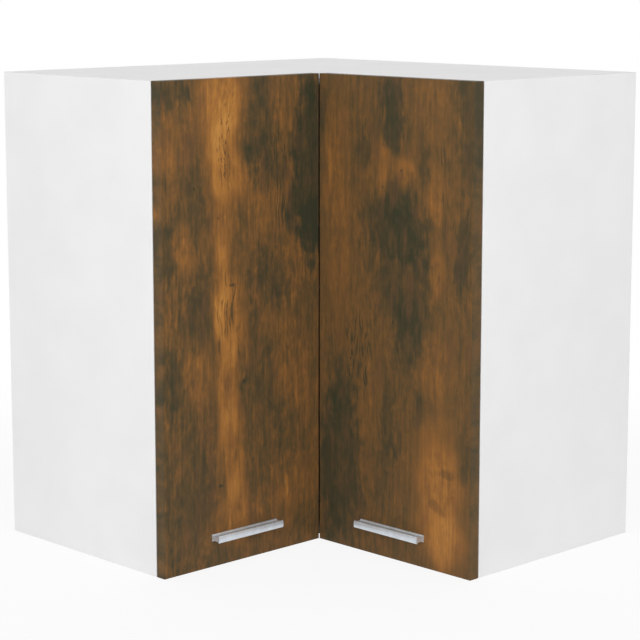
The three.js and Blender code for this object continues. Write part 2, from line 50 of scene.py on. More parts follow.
# ---- Places taken from the frame, in metres ----
PANEL_LOW, PANEL_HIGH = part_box("left_end_panel")
HALF = -PANEL_LOW.y
FRONT_EDGE = PANEL_HIGH.x
REAR_EDGE = PANEL_LOW.x
HEIGHT = PANEL_HIGH.z
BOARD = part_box("bottom_panel")[1].z
DOOR_LOW, DOOR_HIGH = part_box("left_door")
DOOR_BACK = DOOR_LOW.x
DOOR_FACE = DOOR_HIGH.x
DOOR_WIDTH = DOOR_HIGH.y - DOOR_LOW.y


def middle_of(node):
    """The middle of a node's box."""
    low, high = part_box(node)
    return (low + high) / 2


def wing_matrix(side, height):
    """Frame of one wing: x in from the end panel's outer face, y ahead of its front edge.

    Its z points down on the left side and up on the right side."""
    if side == "left":
        axes = ((0, 1, 0), (1, 0, 0), (0, 0, -1))
        origin = (FRONT_EDGE, -HALF, height)
    else:
        axes = ((-1, 0, 0), (0, -1, 0), (0, 0, 1))
        origin = (HALF, -FRONT_EDGE, height)
    return Matrix.Translation(origin) @ Matrix(axes).transposed().to_4x4()


def new_object(name, data):
    """An object in the scene that holds `data`."""
    thing = bpy.data.objects.new(name, data)
    bpy.context.scene.collection.objects.link(thing)
    return thing


def look_along(thing, direction):
    """Turns a camera or lamp, which look along their own -z."""
    thing.rotation_mode = "QUATERNION"
    thing.rotation_quaternion = direction.to_track_quat("-Z", "Y")


# ---- Camera ----
CAMERA_PLACE = Vector((1.8596, -1.8139, 0.7318))
CAMERA_AZIMUTH = math.radians(45.70)
CAMERA_PITCH = math.radians(8.774)
CAMERA_LENS = 114.8
CAMERA_SENSOR = 36
CAMERA_SHIFT = -0.06
CAMERA_REACH = 50


def make_camera():
    """The photo's view: ahead of the recess, a little above the cabinet's top, through a long lens."""
    camera = new_object("camera", bpy.data.cameras.new("camera"))
    camera.location = CAMERA_PLACE
    level = math.cos(CAMERA_PITCH)
    ahead = (-math.sin(CAMERA_AZIMUTH) * level, math.cos(CAMERA_AZIMUTH) * level, -math.sin(CAMERA_PITCH))
    look_along(camera, Vector(ahead))
    camera.data.lens = CAMERA_LENS
    camera.data.sensor_width = CAMERA_SENSOR
    camera.data.shift_y = CAMERA_SHIFT
    camera.data.clip_end = CAMERA_REACH
    bpy.context.scene.camera = camera


# ---- Shader graphs ----
class Graph:
    """The node tree of one material or of the world."""

    def __init__(self, tree):
        self.tree = tree
        tree.nodes.clear()

    def add(self, kind, inputs=None, **settings):
        node = self.tree.nodes.new(kind)
        for name, value in settings.items():
            setattr(node, name, value)
        for name, value in (inputs or {}).items():
            self.put(node.inputs[name], value)
        return node

    def put(self, socket, value):
        if isinstance(value, bpy.types.NodeSocket):
            self.tree.links.new(value, socket)
        else:
            socket.default_value = value

    def math(self, operation, a, b=0.0, c=0.0):
        return self.add("ShaderNodeMath", {0: a, 1: b, 2: c}, operation=operation).outputs[0]

    def vector(self, operation, a, b=(0.0, 0.0, 0.0)):
        return self.add("ShaderNodeVectorMath", {0: a, 1: b}, operation=operation).outputs[0]

    def length(self, a):
        return self.add("ShaderNodeVectorMath", {0: a}, operation="LENGTH").outputs["Value"]

    def split(self, vector):
        return self.add("ShaderNodeSeparateXYZ", {0: vector}).outputs

    def noise(self, vector, size, detail=2.0, roughness=0.5, coloured=False):
        """Noise whose features are about `size` long along each axis."""
        scaled = self.vector("DIVIDE", vector, size)
        inputs = {"Vector": scaled, "Scale": 1.0, "Detail": detail, "Roughness": roughness}
        node = self.add("ShaderNodeTexNoise", inputs)
        return node.outputs["Color"] if coloured else node.outputs[0]

    def span(self, value, low, high, to_low=0.0, to_high=1.0, smooth=True):
        """`value` mapped from low..high to to_low..to_high, and held outside it."""
        kind = "SMOOTHSTEP" if smooth else "LINEAR"
        inputs = {"Value": value, "From Min": low, "From Max": high, "To Min": to_low, "To Max": to_high}
        return self.add("ShaderNodeMapRange", inputs, interpolation_type=kind).outputs[0]

    def ramp(self, value, stops):
        node = self.add("ShaderNodeValToRGB", {"Fac": value})
        elements = node.color_ramp.elements
        while len(elements) < len(stops):
            elements.new(0.5)
        for element, (place, colour) in zip(elements, stops):
            element.position = place
            element.color = colour
        return node.outputs["Color"]

    def mix(self, factor, a, b):
        node = self.add("ShaderNodeMix", data_type="RGBA")
        for socket, value in ((0, factor), (6, a), (7, b)):
            self.put(node.inputs[socket], value)
        return node.outputs[2]

    def bump(self, height, distance, strength):
        inputs = {"Height": height, "Distance": distance, "Strength": strength}
        return self.add("ShaderNodeBump", inputs).outputs["Normal"]


def srgb(red, green, blue):
    """Linear colour of 8-bit screen values."""
    def linear(value):
        value /= 255
        return value / 12.92 if value <= 0.04045 else ((value + 0.055) / 1.055) ** 2.4
    return (linear(red), linear(green), linear(blue), 1.0)


WHITE = (1.0, 1.0, 1.0, 1.0)
# Noise lies mostly in the first of these ranges, and nearly always in the last.
NOISE_CORE = (0.3, 0.7)
NOISE_BODY = (0.25, 0.75)
NOISE_ALL = (0.2, 0.8)


def new_material(name):
    """A material with its graph, its shader node, the place in millimetres and the surface's normal."""
    material = bpy.data.materials.new(name)
    material.use_nodes = True
    graph = Graph(material.node_tree)
    shader = graph.add("ShaderNodeBsdfPrincipled")
    output = graph.add("ShaderNodeOutputMaterial")
    graph.put(output.inputs["Surface"], shader.outputs[0])
    coordinates = graph.add("ShaderNodeTexCoord").outputs
    place = graph.vector("MULTIPLY", coordinates["Object"], (1 / MM, 1 / MM, 1 / MM))
    return material, graph, shader, place, coordinates["Normal"]


# ---- White boards ----
BOARD_WHITE = srgb(242, 242, 242)
BOARD_SHADE = srgb(239, 239, 239)
BOARD_SPECULAR = 0.16
BOARD_ROUGHNESS = (0.5, 0.62)
BOARD_RELIEF = 0.06 * MM
BOARD_BUMP = 0.35
CLOUD_SIZE = (90, 90, 90)
PEARL_SIZE = (1.1, 1.1, 1.1)
CHIP_SIZE = (2.4, 2.4, 1.5)
CHIP_WEIGHT = 0.7
DUST_SIZE = (0.7, 0.7, 0.7)
DUST_WEIGHT = 0.5
CHIP_RELIEF = 8.0
CHIP_ROUGHNESS = 0.85
CHIP_COLOURS = (
    (0.0, srgb(120, 86, 54)),
    (0.35, srgb(168, 130, 88)),
    (0.7, srgb(196, 162, 118)),
    (1.0, srgb(214, 186, 146)),
)
# How far in from the boards' rear edge, in millimetres, and how squarely to a wall, a raw face lies.
REAR_MARGIN = 1
SQUARELY = 0.5


def faces_wall(graph, place, normal):
    """1 on the boards' rear edges, where they face a wall, and 0 elsewhere."""
    facing = graph.split(graph.vector("MULTIPLY", normal, (-1.0, 1.0, 0.0)))
    spot = graph.split(place)
    rear = REAR_EDGE / MM + REAR_MARGIN
    left = graph.math("MULTIPLY", graph.math("GREATER_THAN", facing["X"], SQUARELY),
                      graph.math("LESS_THAN", spot["X"], rear))
    right = graph.math("MULTIPLY", graph.math("GREATER_THAN", facing["Y"], SQUARELY),
                       graph.math("GREATER_THAN", spot["Y"], -rear))
    return graph.math("MAXIMUM", left, right)


def chipboard_grain(graph, place):
    """Chips of wood in finer dust."""
    scaled = graph.vector("DIVIDE", place, CHIP_SIZE)
    chips = graph.add("ShaderNodeTexVoronoi", {"Vector": scaled, "Scale": 1.0})
    dust = graph.noise(place, DUST_SIZE, 3)
    chip_tone = graph.math("MULTIPLY", chips.outputs["Distance"], CHIP_WEIGHT)
    return graph.math("MULTIPLY_ADD", dust, DUST_WEIGHT, chip_tone)


def board_material(name, raw_rear=False):
    """White melamine with a fine pearl texture; raw chipboard on the edges that face a wall."""
    material, graph, shader, place, normal = new_material(name)
    cloud = graph.noise(place, CLOUD_SIZE, 3)
    pearl = graph.noise(place, PEARL_SIZE, 2)
    colour = graph.mix(graph.span(cloud, *NOISE_CORE), BOARD_WHITE, BOARD_SHADE)
    height = pearl
    roughness = graph.span(pearl, *NOISE_ALL, *BOARD_ROUGHNESS)
    if raw_rear:
        raw = faces_wall(graph, place, normal)
        grain = chipboard_grain(graph, place)
        colour = graph.mix(raw, colour, graph.ramp(grain, CHIP_COLOURS))
        height = graph.math("MULTIPLY_ADD", graph.math("MULTIPLY", raw, grain), CHIP_RELIEF, pearl)
        roughness = graph.math("MAXIMUM", roughness, graph.math("MULTIPLY", raw, CHIP_ROUGHNESS))
    graph.put(shader.inputs["Base Color"], colour)
    graph.put(shader.inputs["Roughness"], roughness)
    graph.put(shader.inputs["Normal"], graph.bump(height, BOARD_RELIEF, BOARD_BUMP))
    shader.inputs["Specular IOR Level"].default_value = BOARD_SPECULAR
    return material


# ---- Back sheets ----
SHEET_CLOUD_SIZE = (40, 40, 60)
SHEET_FIBRE_SIZE = (1.2, 1.2, 3.0)
SHEET_COLOURS = ((0.3, srgb(222, 221, 217)), (0.7, srgb(234, 234, 231)))
SHEET_CLOUD_WEIGHT = 0.65
SHEET_FIBRE_WEIGHT = 0.35
SHEET_ROUGHNESS = (0.6, 0.8)
SHEET_RELIEF = 0.08 * MM
SHEET_BUMP = 0.5
SHEET_SPECULAR = 0.25


def sheet_material():
    """Thin white-coated hardboard: a little greyer than the boards, with a faint fibre mottle."""
    material, graph, shader, place, _ = new_material("back_sheet")
    cloud = graph.noise(place, SHEET_CLOUD_SIZE, 4, 0.6)
    fibre = graph.noise(place, SHEET_FIBRE_SIZE, 3, 0.6)
    fibre_tone = graph.math("MULTIPLY", fibre, SHEET_FIBRE_WEIGHT)
    tone = graph.math("MULTIPLY_ADD", cloud, SHEET_CLOUD_WEIGHT, fibre_tone)
    graph.put(shader.inputs["Base Color"], graph.ramp(tone, SHEET_COLOURS))
    graph.put(shader.inputs["Roughness"], graph.span(fibre, *NOISE_ALL, *SHEET_ROUGHNESS))
    graph.put(shader.inputs["Normal"], graph.bump(fibre, SHEET_RELIEF, SHEET_BUMP))
    shader.inputs["Specular IOR Level"].default_value = SHEET_SPECULAR
    return material


# ---- Smoked-oak doors ----
OAK_COLOURS = (
    (0.0, srgb(56, 57, 40)),
    (0.2, srgb(73, 64, 44)),
    (0.36, srgb(92, 73, 46)),
    (0.52, srgb(116, 84, 48)),
    (0.68, srgb(142, 97, 51)),
    (0.84, srgb(170, 116, 57)),
    (1.0, srgb(194, 138, 70)),
)
OAK_REDDER = srgb(112, 78, 52)
# The tones between which the decor's roughness goes from the first to the second value below.
TONE_RANGE = (0.1, 0.9)
OAK_ROUGHNESS = (0.62, 0.5)
OAK_RELIEF = 0.12 * MM
OAK_BUMP = 0.4
OAK_SPECULAR = 0.18
BASE_TONE = {"left": 0.47, "right": 0.433}
GRAIN_CONTRAST = {"left": 1.2, "right": 0.9}
GRAIN_SHIFT = {"left": (0.0, 0.0, 0.0), "right": (830.0, 210.0, 470.0)}
# Each kind of streak: its size in millimetres, its noise's detail and its weight in the tone.
STREAKS = {
    "cloud": ((40, 60, 52), 3, 0.22),
    "mottle": ((9, 40, 15), 3, 0.42),
    "vein": ((5, 40, 130), 3, 0.36),
    "fibre": ((4.4, 20, 26), 2, 0.36),
    "hair": ((1.6, 10, 7), 2, 0.12),
}
STREAK_ROUGHNESS = 0.6
# The size of the grain's waves and how far they reach, for most streaks, for the veins and for stains.
GRAIN_WAVES = ((34, 60, 60), (16, 0, 30))
VEIN_WAVES = ((50, 60, 200), (14, 0, 0))
STAIN_WAVES = ((46, 80, 60), (30, 0, 36))
# How far the streaks fray the stains' edges, in shares of a stain's half size.
FRAY = {"mottle": 0.7, "fibre": 0.4, "cloud": 0.9}
CRACK_SIZE = (2.4, 20)
CRACK_RANGE = (0.55, 0.63)
PORE_SIZE = (0.8, 10, 14)
PORE_RANGE = (0.62, 0.76)
REDNESS_SIZE = (16, 60, 60)
REDNESS_RANGE = (0.0, 0.2)
REDNESS_MOST = 0.36
# How much a normal points along the door's face or back where a band and its joint line lie.
BAND_RANGE = (0.6, 0.4)
JOINT_START = (0.5, 0.6)
JOINT_END = (0.9, 0.8)
# How much each feature changes the tone.
CRACK_TONE = -0.34
PORE_TONE = -0.1
KNOT_TONE = -0.3
BAND_TONE = -0.05
JOINT_TONE = -0.14
# How deep pores and cracks are, against the relief of the streaks.
PORE_DEPTH = -0.6
CRACK_DEPTH = -1.0
# Where a feature begins and where it is full, in shares of its half size.
STAIN_EDGE = (1.35, 0.55)
CRACK_EDGE = (1.2, 0.5)
KNOT_EDGE = (1.3, 0.3)
# Each stain: middle from the door's outer edge and above its lower edge, half width and half height
# in millimetres, and how much warmer (or, below zero, darker) it is.
STAINS = {
    "left": (
        (95, 570, 40, 60, 0.3), (102, 505, 28, 60, 0.2), (97, 440, 17, 70, 0.19),
        (93, 350, 14, 60, 0.2), (106, 305, 28, 52, 0.24), (101, 225, 20, 62, 0.19),
        (111, 150, 20, 70, 0.19), (117, 62, 22, 50, 0.18), (15, 520, 16, 42, 0.14),
        (31, 402, 14, 26, 0.16), (52, 245, 24, 50, 0.12), (215, 78, 32, 30, 0.1),
        (128, 478, 16, 30, 0.12), (170, 440, 30, 40, 0.08), (187, 545, 13, 55, 0.08),
        (216, 230, 30, 70, 0.08), (22, 590, 30, 22, -0.2), (160, 548, 28, 74, -0.18),
        (170, 490, 30, 40, -0.1), (243, 488, 31, 122, -0.31), (246, 400, 18, 50, -0.2),
        (244, 590, 22, 30, -0.1), (208, 430, 9, 28, -0.22), (10, 396, 10, 40, -0.2),
        (42, 440, 26, 46, -0.1), (60, 325, 22, 50, -0.16), (175, 345, 36, 44, -0.14),
        (14, 236, 14, 40, -0.16), (36, 100, 44, 110, -0.11), (160, 180, 32, 110, -0.1),
        (205, 146, 26, 44, -0.1), (95, 12, 34, 14, -0.08), (228, 300, 24, 60, -0.06),
    ),
    "right": (
        (53, 96, 42, 88, 0.28), (40, 38, 34, 44, 0.16), (148, 492, 11, 40, 0.18),
        (112, 488, 20, 24, 0.24), (60, 456, 15, 44, 0.16), (57, 370, 12, 34, 0.18),
        (228, 450, 26, 130, 0.1), (66, 566, 26, 46, 0.08), (56, 252, 26, 48, 0.12),
        (172, 215, 18, 54, 0.08), (245, 480, 8, 44, 0.12), (205, 330, 34, 60, 0.05),
        (116, 448, 26, 38, -0.17), (126, 416, 56, 38, -0.24), (118, 345, 54, 54, -0.13),
        (97, 325, 34, 58, -0.09), (134, 562, 18, 52, -0.26), (183, 505, 14, 24, -0.12),
        (79, 500, 9, 22, -0.13), (16, 385, 13, 50, -0.2), (9, 560, 20, 76, -0.16),
        (251, 552, 8, 28, -0.16), (224, 106, 38, 114, -0.21), (244, 70, 24, 70, -0.08),
        (214, 195, 26, 34, -0.1), (137, 181, 8, 40, -0.16), (119, 147, 7, 18, -0.16),
        (88, 189, 9, 24, -0.12), (12, 157, 14, 24, -0.1), (43, 126, 15, 7, -0.17),
        (13, 128, 8, 12, -0.15), (57, 80, 14, 6, -0.15), (183, 58, 13, 18, -0.1),
        (105, 283, 26, 46, -0.12), (140, 110, 18, 46, -0.06),
    ),
}
# Each knot: middle, half width and half height, as above.
KNOTS = {
    "left": ((52, 470, 1.6, 3), (90, 432, 2, 1.6), (112, 348, 6, 2.4), (130, 226, 3, 3.6),
             (91, 100, 4.5, 2.5)),
    "right": ((149, 466, 1.6, 2), (118, 488, 2.4, 1.4), (131, 300, 1.6, 2.4)),
}
# Each zone of cracks: middle, half width and half height as above, and how long its cracks are.
CRACKS = {
    "left": ((104, 525, 14, 66, 10), (104, 300, 26, 80, 34), (192, 470, 12, 90, 40)),
    "right": ((190, 250, 26, 60, 20), (48, 455, 7, 75, 44)),
}


def door_plane(graph, place, side):
    """Place on a door: in from its outer edge, ahead through the board, and up, in millimetres."""
    spot = graph.split(place)
    edge = HALF / MM
    if side == "left":
        inward = graph.math("ADD", spot["Y"], edge)
        ahead = spot["X"]
    else:
        inward = graph.math("SUBTRACT", edge, spot["X"])
        ahead = graph.math("MULTIPLY", spot["Y"], -1.0)
    return graph.add("ShaderNodeCombineXYZ", {"X": inward, "Y": ahead, "Z": spot["Z"]}).outputs[0]


def swirled(graph, place, source, size, reach):
    """`place` moved to and fro by up to half of `reach`, by noise of `size` at `source`."""
    noise = graph.noise(source, size, 2, coloured=True)
    centred = graph.vector("SUBTRACT", noise, (0.5, 0.5, 0.5))
    return graph.vector("ADD", place, graph.vector("MULTIPLY", centred, reach))


def streak_field(graph, place, size, detail):
    """Noise about zero."""
    return graph.math("SUBTRACT", graph.noise(place, size, detail, STREAK_ROUGHNESS), 0.5)


def ellipse(graph, place, across, up, half_width, half_height):
    """Distance from an ellipse's middle, which is 1 on its outline."""
    offset = graph.vector("SUBTRACT", place, (across, 0.0, up))
    return graph.length(graph.vector("MULTIPLY", offset, (1 / half_width, 0.0, 1 / half_height)))


def stained(graph, tone, bent, fields, side):
    """`tone` with the door's stains; the streaks fray their edges."""
    ragged = 0.0
    for kind, weight in FRAY.items():
        ragged = graph.math("MULTIPLY_ADD", fields[kind], weight, ragged)
    for across, up, half_width, half_height, strength in STAINS[side]:
        distance = graph.math("ADD", ellipse(graph, bent, across, up, half_width, half_height), ragged)
        tone = graph.math("ADD", tone, graph.span(distance, *STAIN_EDGE, 0.0, strength))
    return tone


def crack_field(graph, waved, bent, side):
    """1 in the fine cracks along the grain, which the zones of CRACKS hold."""
    crack = 0.0
    for across, up, half_width, half_height, reach in CRACKS[side]:
        near = ellipse(graph, bent, across, up, half_width, half_height)
        zone = graph.span(near, *CRACK_EDGE)
        split = graph.span(graph.noise(waved, (*CRACK_SIZE, reach), 2, STREAK_ROUGHNESS), *CRACK_RANGE)
        crack = graph.math("MULTIPLY_ADD", zone, split, crack)
    return crack


def knotted(graph, tone, flat, side):
    """`tone` with the door's small dark knots."""
    for across, up, half_width, half_height in KNOTS[side]:
        distance = ellipse(graph, flat, across, up, half_width, half_height)
        tone = graph.math("ADD", tone, graph.span(distance, *KNOT_EDGE, 0.0, KNOT_TONE))
    return tone


def banded(graph, tone, normal, side):
    """`tone` with darker edge bands and a fine line where a band meets the door's face."""
    facing = graph.split(graph.vector("ABSOLUTE", normal))
    face_way = facing["X" if side == "left" else "Y"]
    band = graph.span(face_way, *BAND_RANGE, smooth=False)
    joint = graph.math("MULTIPLY", graph.span(face_way, *JOINT_START), graph.span(face_way, *JOINT_END))
    tone = graph.math("MULTIPLY_ADD", band, BAND_TONE, tone)
    return graph.math("MULTIPLY_ADD", joint, JOINT_TONE, tone)


def oak_material(side):
    """Dark smoked-oak decor with upright grain; the stains lie where this door has them."""
    material, graph, shader, place, normal = new_material(f"{side}_oak")
    flat = door_plane(graph, place, side)
    grainy = graph.vector("ADD", flat, GRAIN_SHIFT[side])
    waved = swirled(graph, grainy, grainy, *GRAIN_WAVES)
    straighter = swirled(graph, grainy, grainy, *VEIN_WAVES)
    bent = swirled(graph, flat, grainy, *STAIN_WAVES)
    fields = {kind: streak_field(graph, straighter if kind == "vein" else waved, size, detail)
              for kind, (size, detail, _) in STREAKS.items()}
    crack = crack_field(graph, waved, bent, side)
    pore = graph.span(graph.noise(waved, PORE_SIZE, 2, STREAK_ROUGHNESS), *PORE_RANGE)

    tone = stained(graph, BASE_TONE[side], bent, fields, side)
    for kind, (_, _, weight) in STREAKS.items():
        tone = graph.math("MULTIPLY_ADD", fields[kind], weight * GRAIN_CONTRAST[side], tone)
    tone = graph.math("MULTIPLY_ADD", crack, CRACK_TONE, tone)
    tone = graph.math("MULTIPLY_ADD", pore, PORE_TONE, tone)
    tone = knotted(graph, tone, flat, side)
    tone = banded(graph, tone, normal, side)

    patches = streak_field(graph, grainy, REDNESS_SIZE, 3)
    redness = graph.span(patches, *REDNESS_RANGE, 0.0, REDNESS_MOST)
    graph.put(shader.inputs["Base Color"], graph.mix(redness, graph.ramp(tone, OAK_COLOURS), OAK_REDDER))
    relief = graph.math("ADD", fields["fibre"], fields["hair"])
    relief = graph.math("MULTIPLY_ADD", pore, PORE_DEPTH, relief)
    relief = graph.math("MULTIPLY_ADD", crack, CRACK_DEPTH, relief)
    graph.put(shader.inputs["Normal"], graph.bump(relief, OAK_RELIEF, OAK_BUMP))
    graph.put(shader.inputs["Roughness"], graph.span(tone, *TONE_RANGE, *OAK_ROUGHNESS))
    shader.inputs["Specular IOR Level"].default_value = OAK_SPECULAR
    return material


# ---- Metals and plastic ----
METAL_CLOUD_SIZE = (14, 14, 14)
METAL_SHADE = 0.88
METAL_SMOOTHER = 0.8
METAL_ROUGHER = 1.25
METAL_RELIEF = 0.03 * MM
METAL_BUMP = 0.5
HAZE_SIZE = (1.5, 1.5, 1.5)
PAD_ROUGHNESS = (0.18, 0.3)
PAD_CLEARNESS = 0.6


def metal_material(name, colour, roughness, grain, metallic=1.0):
    """Metal with fine marks; `grain` is the marks' size along each axis, in millimetres."""
    material, graph, shader, place, _ = new_material(name)
    marks = graph.noise(place, grain, 3, 0.6)
    cloud = graph.noise(place, METAL_CLOUD_SIZE, 2)
    darker = tuple(METAL_SHADE * channel for channel in colour[:3]) + (1.0,)
    graph.put(shader.inputs["Base Color"], graph.mix(graph.span(cloud, *NOISE_CORE), darker, colour))
    spread = (roughness * METAL_SMOOTHER, roughness * METAL_ROUGHER)
    graph.put(shader.inputs["Roughness"], graph.span(marks, *NOISE_BODY, *spread))
    graph.put(shader.inputs["Normal"], graph.bump(marks, METAL_RELIEF, METAL_BUMP))
    shader.inputs["Metallic"].default_value = metallic
    return material


def pad_material():
    """Clear soft plastic, a little milky."""
    material, graph, shader, place, _ = new_material("bumper_plastic")
    haze = graph.noise(place, HAZE_SIZE, 2)
    graph.put(shader.inputs["Base Color"], graph.mix(haze, srgb(226, 228, 230), srgb(206, 209, 212)))
    graph.put(shader.inputs["Roughness"], graph.span(haze, *NOISE_CORE, *PAD_ROUGHNESS))
    shader.inputs["Transmission Weight"].default_value = PAD_CLEARNESS
    return material


# ---- Mesh helpers ----
# Shares of a cross-head's radius and height.
SHOULDER_RADIUS = 0.93
SHOULDER_RISE = 0.6
CROWN_RADIUS = 0.72
CROSS_MOUTH = (0.55, 0.13)
CROSS_FLOOR = (0.4, 0.09)
CROSS_FLOOR_HEIGHT = 0.35
SCREW_RIM = 0.25
# A thread's rows of points in each turn, its crest's half width in turns and its height in threads.
THREAD_ROWS = 6
CREST_HALF_WIDTH = 0.25
CREST_HEIGHT = 1.9
# A screw's point: its length in core radii and its end's radius.
POINT_LENGTH = 3
POINT_RADIUS = 0.02 * MM
# Rings of a dome, from its foot up, in shares of its radius and height.
DOME_PROFILE = ((1, 0), (1, 0.45), (0.86, 0.85), (0.5, 1))


def add_piece(name, mesh, matrix, material, body):
    """A visible piece that rides on `body`; a mesh without a material gets `material`."""
    piece = new_object(name, mesh)
    piece.matrix_world = matrix
    if not mesh.materials:
        mesh.materials.append(material)
    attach(piece, body)
    return piece


def finish_mesh(name, work, smooth_angle=35):
    """Mesh of the finished `work`, smooth where its faces meet at less than `smooth_angle` degrees."""
    bmesh.ops.recalc_face_normals(work, faces=work.faces)
    mesh = bpy.data.meshes.new(name)
    work.to_mesh(mesh)
    work.free()
    mesh.polygons.foreach_set("use_smooth", [True] * len(mesh.polygons))
    mesh.set_sharp_from_angle(angle=math.radians(smooth_angle))
    return mesh


def ring(work, radius, height, count):
    """Circle of `count` vertices round z, anticlockwise from +x."""
    return [work.verts.new((radius * math.cos(turn), radius * math.sin(turn), height))
            for turn in (2 * math.pi * step / count for step in range(count))]


def bridge(work, lower, upper):
    """Faces between two closed loops of as many vertices each."""
    count = len(lower)
    for step in range(count):
        after = (step + 1) % count
        work.faces.new((lower[step], lower[after], upper[after], upper[step]))


def cross_outline(work, reach, half_width, height):
    """Plus-shaped loop, anticlockwise, starting on the +x arm."""
    corners = []
    for turn in (0, 90, 180, 270):
        around = Matrix.Rotation(math.radians(turn), 3, "Z")
        for x, y in ((reach, -half_width), (reach, half_width), (half_width, half_width)):
            corners.append(work.verts.new(around @ Vector((x, y, height))))
    return corners


def add_cross_head(work, radius, height, rim, sides=28):
    """Domed head with a cross recess, its underside at z = 0; returns the ring under the rim."""
    under = ring(work, radius, 0, sides)
    side = ring(work, radius, height * rim, sides)
    shoulder = ring(work, radius * SHOULDER_RADIUS, height * (rim + SHOULDER_RISE * (1 - rim)), sides)
    crown = ring(work, radius * CROWN_RADIUS, height, sides)
    bridge(work, under, side)
    bridge(work, side, shoulder)
    bridge(work, shoulder, crown)
    mouth = cross_outline(work, *(radius * share for share in CROSS_MOUTH), height)
    floor = cross_outline(work, *(radius * share for share in CROSS_FLOOR), height * CROSS_FLOOR_HEIGHT)
    bridge(work, floor, mouth)
    work.faces.new(floor)
    loops = []
    for loop in (crown, mouth):
        for first, second in zip(loop, loop[1:] + loop[:1]):
            loops.append(work.edges.get((first, second)) or work.edges.new((first, second)))
    bmesh.ops.triangle_fill(work, use_beauty=True, use_dissolve=False, edges=loops)
    return under


def screw_mesh(name, head_radius, head_height, core, length, pitch=1.6 * MM, thread=0.28 * MM, sides=24):
    """Cross-head screw pointing along -z from its head's underside, with a real helical thread."""
    work = bmesh.new()
    under = add_cross_head(work, head_radius, head_height, SCREW_RIM, sides)
    neck = ring(work, core, 0, sides)
    bridge(work, neck, under)
    rows = int(length / pitch * THREAD_ROWS)
    previous = neck
    for row in range(1, rows + 1):
        depth = length * row / rows
        taper = min(1.0, (length - depth) / (POINT_LENGTH * core))
        verts = []
        for step in range(sides):
            phase = (depth / pitch - step / sides) % 1.0
            crest = max(0.0, 1 - abs(phase - 0.5) / CREST_HALF_WIDTH)
            radius = max((core - thread + thread * CREST_HEIGHT * crest) * taper, POINT_RADIUS)
            turn = 2 * math.pi * step / sides
            verts.append(work.verts.new((radius * math.cos(turn), radius * math.sin(turn), -depth)))
        bridge(work, verts, previous)
        previous = verts
    work.faces.new(previous[::-1])
    return finish_mesh(name, work)


def head_mesh(name, radius, height, rim=0.3):
    """A screw head alone, closed underneath."""
    work = bmesh.new()
    under = add_cross_head(work, radius, height, rim)
    work.faces.new(under[::-1])
    return finish_mesh(name, work)


def dome_mesh(name, radius, height, sides=20):
    """Low domed head or pad, closed underneath."""
    work = bmesh.new()
    rings = [ring(work, radius * across, height * up, sides) for across, up in DOME_PROFILE]
    for lower, upper in zip(rings, rings[1:]):
        bridge(work, lower, upper)
    work.faces.new(rings[0][::-1])
    work.faces.new(rings[-1])
    return finish_mesh(name, work)


def rounded(corners, steps=4):
    """Outline through (x, y, radius) corners; a curve rounds each from `radius` before to after it."""
    outline = []
    for index, (x, y, radius) in enumerate(corners):
        here = Vector((x, y))
        if radius == 0:
            outline.append(here)
            continue
        before = (Vector(corners[index - 1][:2]) - here).normalized()
        after = (Vector(corners[(index + 1) % len(corners)][:2]) - here).normalized()
        start, end = here + before * radius, here + after * radius
        for step in range(steps + 1):
            share = step / steps
            outline.append(start * (1 - share) ** 2 + here * 2 * share * (1 - share) + end * share ** 2)
    return outline


def prism(work, first, second):
    """Solid between two loops of vertices; returns its two end faces."""
    bridge(work, first, second)
    return [work.faces.new(first[::-1]), work.faces.new(second)]


# ---- Metals in use, and materials of the CAD nodes ----
ALUMINIUM = metal_material("aluminium", srgb(222, 229, 236), 0.3, (0.25, 0.25, 0.25), 0.52)
STEEL = metal_material("hinge_steel", srgb(206, 204, 198), 0.3, (0.5, 0.5, 0.5))
ZINC = metal_material("screw_steel", srgb(196, 198, 202), 0.34, (0.4, 0.4, 0.4))
# The boards whose rear edges are raw chipboard, and those that are white on every side.
RAW_EDGED = ("bottom_panel", "top_panel", "left_end_panel", "right_end_panel")
WHITE_ALL_ROUND = ("shelf", "corner_stile", "left_hanging_rail", "right_hanging_rail")


def dress(node, material):
    """Gives a CAD node its material, with flat shading."""
    mesh = NODES[node].data
    mesh.materials.clear()
    mesh.materials.append(material)
    mesh.polygons.foreach_set("use_smooth", [False] * len(mesh.polygons))


def dress_nodes():
    """Materials of every CAD node that no other piece replaces."""
    white = board_material("white_board")
    raw = board_material("white_board_raw_rear", raw_rear=True)
    for node in RAW_EDGED:
        dress(node, raw)
    for node in WHITE_ALL_ROUND:
        dress(node, white)
    for side in SIDES:
        dress(f"{side}_door", oak_material(side))
    for node in NODES:
        if "hinge" in node or "link" in node or "pin" in node:
            dress(node, STEEL)


# ---- Bar handles ----
HANDLE_LOW, HANDLE_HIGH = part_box("left_handle")
HANDLE_LENGTH = HANDLE_HIGH.y - HANDLE_LOW.y
HANDLE_FRONT = HANDLE_HIGH.x - DOOR_FACE
HANDLE_SEAT = HANDLE_LOW.x - DOOR_FACE
FRONT_HALF = (HANDLE_HIGH.z - HANDLE_LOW.z) / 2
FRONT_THICKNESS = 2.5 * MM
FRONT_CROWN = 0.5 * MM
FLANGE_STEP = 0.25 * MM
REAR_HALF = FRONT_HALF - FLANGE_STEP
REAR_THICKNESS = 2.0 * MM
WEB_HALF = 2.8 * MM
FRONT_EDGE_RADIUS = 0.8 * MM
REAR_EDGE_RADIUS = 0.9 * MM
INNER_RADIUS = 0.5 * MM
HANDLE_END_BREAK = 0.25 * MM
CROWN_SHARES = (-0.75, -0.5, -0.25, 0, 0.25, 0.5, 0.75)


